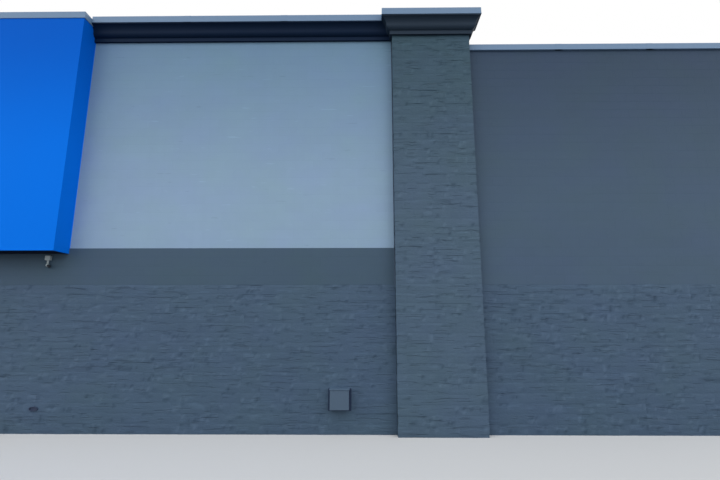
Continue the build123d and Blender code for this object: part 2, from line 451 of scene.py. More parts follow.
# Fading, rain marks and the fine skin of paint on small fittings; larger sheets are also a little wavy.
STIFF_SHEET = (
    Layer(0.9, detail=3.0, tone=0.05, gloss=0.12),
    Layer(11.0, 0.8, 3.0, tone=0.05),
    Layer(240.0, tone=0.03, gloss=0.08, height=0.0002),
)
SHEET = (Layer(1.6, 3.5, height=0.0006), *STIFF_SHEET)
SIGN_PANEL = (Layer(0.7, detail=3.0, tone=0.05, gloss=0.1), Layer(200.0, tone=0.03, height=0.0004))
FLOATED = (
    Layer(0.8, detail=5.0, rough=0.6, tone=0.25, gloss=0.3),
    Layer(90.0, detail=3.0, rough=0.7, tone=0.18, height=0.0005),
)
DUST_ON_WEAVE = (
    Layer(6.0, detail=4.0, rough=0.6, tone=0.06, gloss=0.2, height=0.002),
    Layer(300.0, detail=1.0, height=0.0003),
)
ANODISED = (
    Layer(260.0, 8.0, tone=0.06, gloss=0.08, height=0.00008),
    Layer(5.0, detail=3.0, tone=0.1, gloss=0.15),
)
FLOAT_GLASS = (Layer(2.2, detail=1.0, height=0.0008), Layer(9.0, detail=4.0, tone=0.04, gloss=0.05))
MOULDED = (Layer(400.0, tone=0.06, height=0.0002), Layer(12.0, detail=3.0, tone=0.12, gloss=0.15))
CLEAR = (("Transmission_Weight", 1.0), ("IOR", 1.45))
SATIN_METAL = (("Metallic", 0.85),)

# The cornice on the wall is a darker copy of the capitals' paint: painted shade between the piers and the
# sign box.
CORNICE_PAINTED_SHADE = Coat("crown_paint", "crown_paint", srgb(8, 29, 54), 0.6, SHEET, specular=0.1)
CAPITAL_PAINT = Coat("capital_paint", "crown_paint", srgb(34, 49, 65), 0.6, SHEET, specular=0.15)
COPING_PAINT = Coat("coping_paint", "coping_metal", srgb(102, 130, 161), 0.42, SHEET, specular=0.3)
# The soffit's near-black blue is painted shade under the sign box.
SOFFIT_PAINTED_SHADE = Coat("soffit_painted_shade", "sign_blue", srgb(14, 24, 50), 0.7, SHEET, specular=0.1)
FITTING_PAINT = Coat("fitting_paint", "fitting_paint", srgb(71, 91, 112), 0.5, STIFF_SHEET, specular=0.4)
# The lid is a lighter copy of the fitting paint: painted light on its top.
LID_PAINTED_LIGHT = replace(FITTING_PAINT, name="lid_painted_light", colour=srgb(77, 99, 122))
# The sign blue lightens from the top down to this height above the box's foot: painted light.
PAINTED_LIGHT_FULL_ABOVE_FOOT = 1.7
SIGN_BLUE = SignPaint(
    "sign_blue",
    "sign_blue",
    srgb(0, 92, 200),
    0.55,
    SIGN_PANEL,
    specular=0.03,
    painted_light_low_colour=srgb(2, 114, 232),
    bottom=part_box("sign_box_front")[0].z + PAINTED_LIGHT_FULL_ABOVE_FOOT,
    top=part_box("sign_box_front")[1].z,
)
FLOOR_CONCRETE = Concrete("floor_concrete", "floor_concrete", srgb(150, 150, 147), 0.4, FLOATED)
ROOF_SHEET = Membrane("roof_sheet", "roof_membrane", srgb(196, 198, 197), 0.7, DUST_ON_WEAVE)
FRAME_METAL = Coat("frame_metal", "frame_aluminium", srgb(150, 154, 160), 0.36, ANODISED, further=SATIN_METAL)
BAR_METAL = replace(FRAME_METAL, name="bar_metal", colour=srgb(176, 180, 184))
DOOR_GLASS = Coat("door_glass", "door_glass", srgb(196, 208, 212), 0.03, FLOAT_GLASS, further=CLEAR)
CAMERA_SHELL = Coat("camera_shell", "camera_shell", srgb(158, 172, 178), 0.4, MOULDED)
CAMERA_BARREL = Coat("camera_barrel", "camera_shell", srgb(34, 42, 52), 0.35, MOULDED)
OUTLET_PLASTIC = Coat("outlet_plastic", "outlet_plastic", srgb(34, 50, 78), 0.6, MOULDED)
RUBBER = Coat("rubber_gasket", "outlet_plastic", srgb(28, 31, 35), 0.6, MOULDED)
WALL_SEALANT = Coat("wall_sealant", "fitting_paint", srgb(58, 76, 98), 0.6, MOULDED)
# The vent box's seal is dark as painted shadow round the box.
PAINTED_SHADOW_SEAL = Coat("painted_shadow_seal", "fitting_paint", srgb(22, 42, 72), 0.8, MOULDED)
ROOF_SEALANT = Coat("roof_sealant", "roof_membrane", srgb(150, 153, 154), 0.6, MOULDED)


def into_scene(name: str, data: Any) -> Piece:
    """Puts new data into the scene.

    Args:
        name: The new object's name.
        data: Its mesh, camera or lamp.

    Returns:
        The object.
    """
    made = bpy.data.objects.new(name, data)
    bpy.context.scene.collection.objects.link(made)
    return made


def rectangle(west: float, south: float, east: float, north: float) -> list[Pair]:
    """Four plan corners, counter-clockwise from the front left."""
    return [(west, south), (east, south), (east, north), (west, north)]


class MeshMaker:
    """Collects points and faces for one piece."""

    def __init__(self) -> None:
        """Starts empty."""
        self.points: list[np.ndarray] = []
        self.faces: list[list[int]] = []

    def rings(self, rings: Any, loop: bool = False) -> None:
        """Joins rings of points into one closed shape.

        Args:
            rings: Rings of as many points each, counter-clockwise as seen from the ring that follows.
            loop: Whether the last ring joins the first, in place of a face over either end.
        """
        stack = np.array(rings, float)
        number = np.arange(stack[..., 0].size).reshape(stack.shape[:2]) + sum(map(len, self.points))
        beside = np.roll(number, -1, axis=1)
        sides = np.stack([number, beside, np.roll(beside, -1, axis=0), np.roll(number, -1, axis=0)], axis=-1)
        faces = [*sides] if loop else [*sides[:-1], number[:1, ::-1], number[-1:]]
        self.points.append(stack.reshape(-1, 3))
        self.faces.extend(face for group in faces for face in group.tolist())

    def sweep(
        self,
        path: Sequence[Pair],
        section: Sequence[Pair],
        ends: Sequence[Any] = (None, None),
        loop: bool = False,
    ) -> None:
        """Carries a section along a plan path, mitred where the path turns.

        Args:
            path: Plan points; outwards is to the right of the way along them.
            section: Distance outwards and height of each point, counter-clockwise with outwards to the right.
            ends: How outwards runs in plan at a mitred first or last end; None for a square end.
            loop: Whether the path closes.
        """
        spots = [Vector(point) for point in path]
        following = [*spots[1:], spots[0]] if loop else spots[1:]
        runs = [(after - spot).normalized() for spot, after in zip(spots, following)]
        outward = [Vector((run.y, -run.x)) for run in runs]
        before = [outward[-1], *outward[:-1]] if loop else [outward[0], *outward]
        after = outward if loop else [*outward, outward[-1]]
        mitres = [(one + other) / (1 + one.dot(other)) for one, other in zip(before, after)]
        mitres[0] = Vector(ends[0] or mitres[0])
        mitres[-1] = Vector(ends[1] or mitres[-1])
        turned = section[::-1]
        rings = [[(*(spot + mitre * out), z) for out, z in turned] for spot, mitre in zip(spots, mitres)]
        self.rings(rings, loop)

    def turn(self, origin: Vector, axis: Vector, profile: Sequence[Pair], sides: int) -> None:
        """Adds a round shape.

        Args:
            origin: Where its axis starts.
            axis: Which way the axis runs.
            profile: Radius and distance along the axis, from one end to the other.
            sides: How many flat sides make it round.
        """
        tip = axis.normalized()
        across = tip.orthogonal().normalized()
        up = tip.cross(across)
        angles = [math.tau * side / sides for side in range(sides)]
        spokes = [across * math.cos(angle) + up * math.sin(angle) for angle in angles]
        self.rings([[origin + tip * place + spoke * radius for spoke in spokes] for radius, place in profile])

    def bar(self, x: Pair, y: Pair, z: Pair, bevel: float) -> None:
        """Adds a bar with its lower and upper edges taken off.

        Args:
            x: Its low and high X.
            y: Its low and high Y.
            z: Its low and high Z.
            bevel: How much is taken off.
        """
        rings = []
        for inset, height in ((bevel, z[0]), (0.0, z[0] + bevel), (0.0, z[1] - bevel), (bevel, z[1])):
            plan = rectangle(x[0] + inset, y[0] + inset, x[1] - inset, y[1] - inset)
            rings.append([(*corner, height) for corner in plan])
        self.rings(rings)

    def surround(self, x: Pair, z: Pair, width: float, y: Pair) -> None:
        """Adds a mitred frame just inside an upright opening.

        Args:
            x: Low and high X of the opening.
            z: Low and high Z of the opening.
            width: How far the frame stands into the opening.
            y: Its low and high Y.
        """
        section = ((0.0, y[0]), (0.0, y[1]), (width, y[1]), (width, y[0]))
        rings = []
        for east, high in ((0, 0), (1, 0), (1, 1), (0, 1)):
            way_x, way_z = 1 - 2 * east, 1 - 2 * high
            rings.append([(x[east] + way_x * step, depth, z[high] + way_z * step) for step, depth in section])
        self.rings(rings, loop=True)

    def piece(self, name: str, finish: Finish, nodes: Sequence[str] = (), smooth: float = 0.0) -> Piece:
        """Makes the piece from what was collected.

        Args:
            name: The piece's name.
            finish: Its finish.
            nodes: The solids that it stands for.
            smooth: Edges flatter than this many degrees are shaded round; 0 for none.

        Returns:
            The piece, riding on the building.
        """
        mesh = bpy.data.meshes.new(name)
        mesh.from_pydata(np.concatenate(self.points).tolist(), [], self.faces)
        mesh.validate()
        if smooth:
            mesh.shade_smooth()
            mesh.set_sharp_from_angle(angle=math.radians(smooth))
        mesh.materials.append(finish.material())
        made = into_scene(name, mesh)
        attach(made, BODY)
        if nodes:
            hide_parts(*nodes)
        return made


class LatticeNoise:
    """Soft random heights over a plane, the same on each run."""

    size: int = 512

    def __init__(self, seed: int) -> None:
        """Draws the random lattice, which repeats after its size."""
        self.table = np.random.default_rng(seed).random((self.size, self.size)) - 0.5

    def at(self, x: np.ndarray, y: np.ndarray) -> np.ndarray:
        """Reads the heights.

        Args:
            x: First coordinate, in lattice steps.
            y: Second coordinate, in lattice steps.

        Returns:
            Heights from -0.5 to 0.5.
        """
        low_x, low_y = np.floor(x).astype(int), np.floor(y).astype(int)
        share_x, share_y = (share * share * (3 - 2 * share) for share in (x - low_x, y - low_y))
        a, b = low_x % self.size, (low_x + 1) % self.size
        c, d = low_y % self.size, (low_y + 1) % self.size
        near = self.table[a, c] * (1 - share_x) + self.table[b, c] * share_x
        far = self.table[a, d] * (1 - share_x) + self.table[b, d] * share_x
        return near * (1 - share_y) + far * share_y


def stations(low: float, high: float, step: float, between: Sequence[float]) -> np.ndarray:
    """Grid lines along one direction of a wall.

    Args:
        low: Where the wall starts.
        high: Where the wall ends.
        step: Distance between joint lines, which lie at whole multiples of it.
        between: Further lines, by their distance from the joint before them.

    Returns:
        The grid lines from low to high: the ends, each joint's middle and edges, and the further lines.
    """
    offsets = (-JOINT_HALF_WIDTH, 0.0, JOINT_HALF_WIDTH, *between)
    numbers = range(math.floor(low / step), math.ceil(high / step) + 1)
    kept = [low]
    for line in sorted(number * step + offset for number in numbers for offset in offsets):
        if line - kept[-1] > FINEST_STEP and high - line > FINEST_STEP:
            kept.append(line)
    return np.array([*kept, high])


class Bond:
    """The running bond, read over a grid of places along a wall and heights."""

    def __init__(self, along: np.ndarray, heights: np.ndarray) -> None:
        """Reads block and course numbers, and how far the nearest bed joint and any joint are.

        Args:
            along: Place along the wall of each grid column.
            heights: Height of each grid row.
        """
        self.s, self.z = np.meshgrid(along, heights, indexing="ij")
        self.course = np.floor(self.z / COURSE + ROUNDING)
        shifted = self.s / BLOCK_LENGTH + (self.course % 2) / 2
        self.block = np.floor(shifted + ROUNDING)
        self.to_bed = np.abs(self.z / COURSE - np.round(self.z / COURSE)) * COURSE
        self.joint = np.minimum(np.abs(shifted - np.round(shifted)) * BLOCK_LENGTH, self.to_bed)


@dataclass(frozen=True)
class Relief:
    """Laid smooth block: a flat face with tooled joints."""

    columns: int = 1
    groove: float = 0.0012
    round_shading: float = 0.0
    head_joints: bool = True

    def places_between(self) -> list[float]:
        """Grid lines between two head joints."""
        return [HALF_BLOCK * cell / self.columns for cell in range(1, self.columns)]

    def heights_between(self) -> list[float]:
        """Grid lines between two bed joints."""
        return []

    def shape(self, along: np.ndarray, heights: np.ndarray) -> tuple[np.ndarray, np.ndarray]:
        """Works the face.

        Args:
            along: Place along the wall of each grid column.
            heights: Height of each grid row.

        Returns:
            How far each grid point lies behind the outermost plane, and how far it is moved up.
        """
        bond = Bond(along, heights)
        joint = bond.joint if self.head_joints else bond.to_bed
        return np.where(joint < FINEST_STEP, self.groove, 0.0), np.zeros_like(bond.z)


@dataclass(frozen=True)
class SplitRelief(Relief):
    """Split-face block: broken level plates that step in and out at wandering edges."""

    columns: int = 4
    groove: float = 0.0007
    round_shading: float = 34.0
    edges: int = 2
    edge_half_height: float = 0.0016
    on_edge: float = 0.0024
    off_joint: float = 0.0055
    wander: float = 0.044
    wander_length: float = 0.42
    middle: float = 0.0050
    step_out: float = 0.085
    calm: float = 0.27
    plate_length: float = 0.27
    lean: float = 0.0012
    lean_length: float = 0.21
    chip: float = 0.0014
    chip_length: float = 0.11
    chip_height: float = 0.045
    contrast: float = 1.9
    contrast_length: float = 1.1
    contrast_height: float = 0.55
    arris: float = 0.0002
    arris_width: float = 0.018
    deepest: float = 0.0118
    seed: int = 11

    def _cuts(self) -> np.ndarray:
        """Heights of the plate edges above the bed joint."""
        return np.arange(1, self.edges + 1) * COURSE / (self.edges + 1)

    def heights_between(self) -> list[float]:
        """Two lines close together at each plate edge."""
        return [cut + side * self.edge_half_height for cut in self._cuts() for side in (-1, 1)]

    def shape(self, along: np.ndarray, heights: np.ndarray) -> tuple[np.ndarray, np.ndarray]:
        """Works the broken face.

        The odd numbers in it only keep the noise of one plate, block or course apart from the next one's.

        Args:
            along: Place along the wall of each grid column.
            heights: Height of each grid row.

        Returns:
            What the smooth relief returns.
        """
        bond = Bond(along, heights)
        noise = LatticeNoise(self.seed)
        plates = self.edges + 1
        up = bond.z - bond.course * COURSE
        plate = sum((up > cut).astype(float) for cut in self._cuts())
        row = bond.course * 5.17 + plate * 1.93
        swing = noise.at(bond.s / self.plate_length + plate * 7.31, row)
        swing = np.sign(swing) * np.maximum(np.abs(swing) - self.calm, 0.0)
        tip = noise.at(bond.s / self.lean_length + plate * 3.07 + 40.5, row + 60.2)
        apart = bond.block * 0.37 + 17.0
        chips = noise.at(bond.s / self.chip_length + apart, bond.z / self.chip_height + bond.block * 2.9)
        vigour = noise.at(bond.s / self.contrast_length + 5.5, bond.z / self.contrast_height + 3.3)
        relief = self.step_out * swing + self.chip * chips
        relief += self.lean * tip * (up * plates / COURSE - plate - 0.5)
        face = self.middle + relief * (1.0 + self.contrast * vigour)
        face += self.arris * np.clip(1 - bond.joint / self.arris_width, 0, 1) ** 2
        face += np.where(bond.joint < FINEST_STEP, self.groove, 0.0)
        nearest = np.round(up * plates / COURSE)
        from_edge = np.abs(up - nearest * COURSE / plates)
        moves = (from_edge < self.on_edge) & (bond.joint > self.off_joint)
        along_edge = bond.s / self.wander_length + nearest * 5.9 + 80.3
        swerve = noise.at(along_edge, bond.course * 2.3 + nearest * 3.1)
        return np.clip(face, 0.0, self.deepest), np.where(moves, self.wander * swerve, 0.0)


class Facework(Enum):
    """How a wall's blocks are painted and worked."""

    SPLIT = (SPLIT_PAINT, SplitRelief())
    PIER = (PIER_PAINT, SplitRelief())
    FAR_SPLIT = (FAR_SPLIT_PAINT, SplitRelief(columns=1, seed=23))
    LIGHT = (LIGHT_PAINT, Relief())
    DARK = (DARK_PAINT, Relief())
    BAND = (BAND_PAINT, Relief())
    FAR_DARK = (FAR_DARK_PAINT, Relief(groove=0.0030, head_joints=False))


@dataclass(frozen=True)
class BlockWall:
    """A closed piece of block wall: an upright prism whose coursed sides show every block."""

    node: str
    facework: Facework
    coursed: tuple[int, ...]
    corners: tuple[Pair, ...] = ()

    def build(self) -> Piece:
        """Builds the wall piece, on the plan of its solid where it has no corners of its own.

        Returns:
            The piece, standing for its solid.
        """
        low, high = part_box(self.node)
        finish, relief = self.facework.value
        places, inward = self._ring(self.corners or rectangle(low.x, low.y, high.x, high.y), relief)
        heights = stations(low.z, high.z, COURSE, relief.heights_between())
        depth, lift = relief.shape(places.sum(axis=1) - FRONT_Y, heights)
        points = np.empty((*depth.shape, 3))
        points[:, :, :2] = places[:, None] + inward[:, None] * depth[:, :, None]
        points[:, :, 2] = heights + lift
        maker = MeshMaker()
        maker.rings(points.swapaxes(0, 1))
        return maker.piece(self.node + "_blocks", finish, [self.node], relief.round_shading)

    def _ring(self, corners: Sequence[Pair], relief: Relief) -> tuple[np.ndarray, np.ndarray]:
        """Walks round the plan.

        Args:
            corners: The plan, counter-clockwise.
            relief: Gives the lines between joints.

        Returns:
            Plan points, and which way the relief moves each.
        """
        ends = [*corners[1:], corners[0]]
        normals = []
        for side, (start, end) in enumerate(zip(corners, ends)):
            run = Vector(end) - Vector(start)
            normals.append(Vector((-run.y, run.x)).normalized() * (side in self.coursed))
        places, inward = [], []
        for side, (start, end) in enumerate(zip(corners, ends)):
            places.append(start)
            inward.append(normals[side - 1] + normals[side])
            if side not in self.coursed or not relief.head_joints:
                continue
            first, last = start[0] + start[1] - FRONT_Y, end[0] + end[1] - FRONT_Y
            lines = stations(min(first, last), max(first, last), HALF_BLOCK, relief.places_between())
            for share in np.sort((lines - first) / (last - first))[1:-1]:
                places.append(tuple(Vector(start).lerp(Vector(end), float(share))))
                inward.append(normals[side])
        return np.array(places), np.array(inward)


@dataclass(frozen=True)
class Masonry:
    """All walls of painted block, split-face below and smooth above, and the piers."""

    front: int = 0
    right: int = 1
    back: int = 2
    left: int = 3
    pier_sides: tuple[int, ...] = (0, 1, 5)

    def build(self) -> list[Piece]:
        """Builds every wall.

        Returns:
            The wall pieces.
        """
        pieces = []
        for hand, outer in (("left", self.left), ("right", self.right)):
            for node, work, coursed in (
                ("front_split_face_wall", Facework.SPLIT, (self.front,)),
                ("wing_split_face_wall", Facework.SPLIT, (self.front, outer)),
                ("side_split_face_wall", Facework.FAR_SPLIT, (outer,)),
                ("front_light_wall", Facework.LIGHT, (self.front,)),
                ("wing_smooth_wall", Facework.DARK, (self.front, outer)),
                ("side_smooth_wall", Facework.FAR_DARK, (outer,)),
            ):
                pieces.append(BlockWall(f"{node}_{hand}", work, coursed).build())
            pieces.append(self._pier(f"front_pier_{hand}", f"front_split_face_wall_{hand}"))
        around = (self.right, self.back, self.left)
        pieces.append(BlockWall("back_split_face_wall", Facework.FAR_SPLIT, around).build())
        pieces.append(BlockWall("back_smooth_wall", Facework.FAR_DARK, around).build())
        pieces.append(BlockWall("front_dark_band", Facework.BAND, (self.front,)).build())
        return pieces

    def _pier(self, node: str, wall: str) -> Piece:
        """Builds one pier, rough where it stands out from the wall.

        Args:
            node: Its solid.
            wall: The wall's solid.

        Returns:
            The pier.
        """
        low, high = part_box(node)
        wall_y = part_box(wall)[0].y
        corners = rectangle(low.x, low.y, high.x, high.y)
        corners = (*corners[:2], (high.x, wall_y), *corners[2:], (low.x, wall_y))
        return BlockWall(node, Facework.PIER, self.pier_sides, corners).build()


@dataclass(frozen=True)
class Copings:
    """Folded metal caps: long pans with a cover over each joint between them."""

    lap: float = 0.0015
    fold: float = 0.003
    cover_width: float = 0.150
    bay: float = 3.05
    overhang: float = 0.050
    back_overhang: float = 0.030
    hem: float = 0.006
    hem_height: float = 0.018
    fall: float = 0.014
    crown_reach: float = 0.252
    capital_return: float = 0.136

    def build(self) -> list[Piece]:
        """Builds every pan and cover.

        Returns:
            The coping pieces.
        """
        covers = MeshMaker()
        pieces = [*self._sloped_caps(covers), *self._level_caps(covers)]
        return [*pieces, covers.piece("coping_joint_covers", COPING_PAINT)]

    def _slope(self, base: float, height: float, lap: float) -> list[Pair]:
        """The section of a parapet cap, which drains to the roof.

        Args:
            base: Height of its foot.
            height: Its own height at the outer face.
            lap: How far it lies inside the full outline.

        Returns:
            Distance outwards of the wall face and height.
        """
        inside = lap - (INNER_FRONT_Y - FRONT_Y) - self.back_overhang
        drip = self.overhang - lap
        face = drip - self.hem
        top = base + (height - lap)
        return [
            (inside, base),
            (drip, base),
            (drip, base + self.hem_height),
            (face, base + (self.hem_height + self.hem)),
            (face, top - self.fold),
            (face - self.fold, top),
            (inside + self.fold, top - self.fall),
            (inside, top - self.fall - self.fold),
        ]

    def _steps(self, base: float, height: float, lap: float) -> list[Pair]:
        """The side of a level cap, from its hemmed foot up.

        Args:
            base: Height of its foot.
            height: Its own height.
            lap: How far it lies inside the full outline.

        Returns:
            Inset and height of each step.
        """
        hem, top = self.hem + lap, height - lap
        heights = (0.0, self.hem_height, self.hem_height + self.fold, top - self.fold, top)
        return [(inset, base + z) for inset, z in zip((lap, lap, hem, hem, hem + self.fold), heights)]

    def _sloped_caps(self, covers: MeshMaker) -> list[Piece]:
        """Builds the caps of the wings, sides and back.

        Args:
            covers: Collects their joint covers.

        Returns:
            Their pans.
        """
        low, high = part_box("wing_coping_right")
        pier_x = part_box("front_pier_right")[1].x
        corner_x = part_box("wing_smooth_wall_right")[1].x
        back_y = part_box("back_smooth_wall")[1].y
        stops = (
            ("wing_coping_right", (pier_x, FRONT_Y), None),
            ("side_coping_right", (corner_x, FRONT_Y), (1.0, -1.0)),
            ("back_coping", (corner_x, back_y), (1.0, 1.0)),
            ("side_coping_left", (-corner_x, back_y), (-1.0, 1.0)),
            ("wing_coping_left", (-corner_x, FRONT_Y), (-1.0, -1.0)),
            ("", (-pier_x, FRONT_Y), None),
        )
        pieces = []
        for (node, start, first_mitre), (_, end, last_mitre) in zip(stops, stops[1:]):
            pan = MeshMaker()
            pan.sweep([start, end], self._slope(low.z, high.z - low.z, self.lap), (first_mitre, last_mitre))
            pieces.append(pan.piece(node + "_pans", COPING_PAINT, [node]))
            self._cover(covers, start, end, self._slope(low.z, high.z - low.z, 0.0))
        return pieces

    def _level_caps(self, covers: MeshMaker) -> list[Piece]:
        """Builds the caps over the raised bay's parapets and piers and over the sign box.

        Each corner comes with the way that it moves in X and Y as the plan shrinks.

        Args:
            covers: Collects their joint covers.

        Returns:
            Their pans.
        """
        low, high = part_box("crown_coping_right")
        pier_low, pier_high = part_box("front_pier_right")
        lip_low, lip_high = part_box("sign_box_coping")
        lip_x, box_x = lip_high.x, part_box("sign_box_front")[1].x
        front, back = FRONT_Y - self.crown_reach, INNER_FRONT_Y + self.back_overhang
        inner_x, outer_x = pier_low.x - self.crown_reach, pier_high.x + self.crown_reach
        behind_x, behind_y = pier_high.x + self.back_overhang, FRONT_Y + self.capital_return
        right = [
            (lip_x, front, 0, 1),
            (inner_x, front, 1, 1),
            (inner_x, low.y, 1, 1),
            (outer_x, low.y, -1, 1),
            (outer_x, behind_y, -1, -1),
            (behind_x, behind_y, -1, -1),
            (behind_x, back, -1, -1),
            (box_x, back, 0, -1),
            (box_x, FRONT_Y, 0, 0),
            (lip_x, FRONT_Y, 0, 0),
        ]
        left = [(-x, y, -east, north) for x, y, east, north in reversed(right)]
        box = [
            (-lip_x, lip_low.y, 1, 1),
            (lip_x, lip_low.y, -1, 1),
            (lip_x, FRONT_Y, -1, 0),
            (box_x, FRONT_Y, 0, 0),
            (box_x, lip_high.y, 0, -1),
            (-box_x, lip_high.y, 0, -1),
            (-box_x, FRONT_Y, 0, 0),
            (-lip_x, FRONT_Y, 1, 0),
        ]
        pieces = []
        for node, corners, reach, start_x, end_x in (
            ("crown_coping_right", right, self.crown_reach, box_x, inner_x),
            ("crown_coping_left", left, self.crown_reach, -inner_x, -box_x),
            ("sign_box_coping", box, FRONT_Y - lip_low.y, -box_x, box_x),
        ):
            low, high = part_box(node)
            inside = FRONT_Y - INNER_FRONT_Y - self.back_overhang
            steps = self._steps(low.z, high.z - low.z, 0.0)
            section = [(inside, low.z), *((reach - inset, z) for inset, z in steps)]
            section += [(inside + inset, z) for inset, z in reversed(steps[1:])]
            self._cover(covers, (start_x, FRONT_Y), (end_x, FRONT_Y), section)
            pan = MeshMaker()
            rings = []
            for inset, z in self._steps(low.z, high.z - low.z, self.lap):
                rings.append([(x + east * inset, y + north * inset, z) for x, y, east, north in corners])
            pan.rings(rings)
            pieces.append(pan.piece(node + "_pans", COPING_PAINT, [node]))
        return pieces

    def _cover(self, maker: MeshMaker, start: Pair, end: Pair, section: Sequence[Pair]) -> None:
        """Puts covers at even spacing along one run.

        Args:
            maker: Collects them.
            start: Plan point where the run starts.
            end: Plan point where it ends.
            section: The cover's section.
        """
        run = Vector(end) - Vector(start)
        bays = math.ceil(run.length / self.bay)
        half = run.normalized() * self.cover_width / 2
        for number in range(1, bays):
            middle = Vector(start) + run * number / bays
            maker.sweep([middle - half, middle + half], section)


@dataclass(frozen=True)
class Roof:
    """The roof sheet's laps and its upstand on the parapets, held by a metal bar.

    A fixing's washer and hexagon head are given by radius and distance from the bar.
    """

    sheet_width: float = 1.9
    sheet_length: float = 12.8
    shortest_sheet: float = 1.0
    lap_width: float = 0.080
    lap_thickness: float = 0.0032
    lap_toe: float = 0.012
    sheet: float = 0.004
    upstand: float = 0.300
    cant: float = 0.050
    toe: float = 0.150
    bar_height: float = 0.038
    bar_thickness: float = 0.005
    bar_edge: float = 0.001
    bar_drop: float = 0.012
    bead: float = 0.006
    fixing_spacing: float = 0.45
    first_fixing: float = 0.2
    last_fixing: float = 0.1
    washer: tuple[Pair, ...] = ((0.0135, 0.0), (0.0135, 0.0015))
    head: tuple[Pair, ...] = ((0.009, 0.002), (0.009, 0.006), (0.0072, 0.007))

    def build(self) -> list[Piece]:
        """Builds the roof's details.

        Returns:
            Laps, upstand, bar with its fixings, and the sealant above it.
        """
        low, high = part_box("roof_deck")
        around = rectangle(low.x, low.y, high.x, high.y)
        base, flat, end = high.z, high.z + self.sheet, high.z + self.upstand
        upstand = MeshMaker()
        section = [
            (-self.toe, base),
            (0.0, base),
            (0.0, end),
            (-self.sheet, end),
            (-self.sheet, flat + self.cant),
            (-self.sheet - self.cant, flat),
            (self.sheet - self.toe, flat),
        ]
        upstand.sweep(around, section, loop=True)
        self._laps(upstand)
        bar = MeshMaker()
        front = -self.sheet - self.bar_thickness
        top = end - self.bar_drop
        foot = top - self.bar_height
        section = [
            (-self.sheet, foot),
            (-self.sheet, top),
            (front + self.bar_edge, top),
            (front, top - self.bar_edge),
            (front, foot + self.bar_edge),
            (front + self.bar_edge, foot),
        ]
        bar.sweep(around, section, loop=True)
        self._fixings(bar, (top + foot) / 2)
        bead = MeshMaker()
        bead.sweep(around, [(front, top), (0.0, top), (0.0, end + self.bead)], loop=True)
        return [
            upstand.piece("roof_upstand_and_laps", ROOF_SHEET),
            bar.piece("roof_termination_bar", BAR_METAL),
            bead.piece("roof_bar_sealant", ROOF_SEALANT),
        ]

    def _laps(self, maker: MeshMaker) -> None:
        """Adds the side laps between sheets and the end laps, staggered from sheet to sheet.

        Args:
            maker: Collects them.
        """
        low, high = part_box("roof_deck")
        z, top = high.z, high.z + self.lap_thickness
        section = [(0.0, z), (self.lap_width, z), (self.lap_width - self.lap_toe, top), (0.0, top)]
        for number in range(math.ceil((high.y - low.y) / self.sheet_width)):
            near = low.y + number * self.sheet_width
            far = min(near + self.sheet_width, high.y)
            if number:
                maker.sweep([(low.x + self.toe, near), (high.x - self.toe, near)], section)
            x = low.x + self.sheet_length * (0.5 if number % 2 else 1.0)
            while x < high.x - self.shortest_sheet:
                maker.sweep([(x, near), (x, far - self.lap_width)], section)
                x += self.sheet_length

    def _fixings(self, maker: MeshMaker, z: float) -> None:
        """Adds a fixing to the bar at even spacing on all four sides.

        Args:
            maker: Collects them.
            z: Their height.
        """
        low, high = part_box("roof_deck")
        face = self.sheet + self.bar_thickness
        profile = [(radius, face + out) for radius, out in (*self.washer, *self.head)]
        for run, order in enumerate((1, -1)):
            start, end = low[run] + self.first_fixing, high[run] - self.last_fixing
            for wall, inward in ((low[1 - run], 1.0), (high[1 - run], -1.0)):
                axis = Vector((*(0.0, inward)[::order], 0.0))
                for place in np.arange(start, end, self.fixing_spacing):
                    maker.turn(Vector((*(place, wall)[::order], z)), axis, profile, 6)


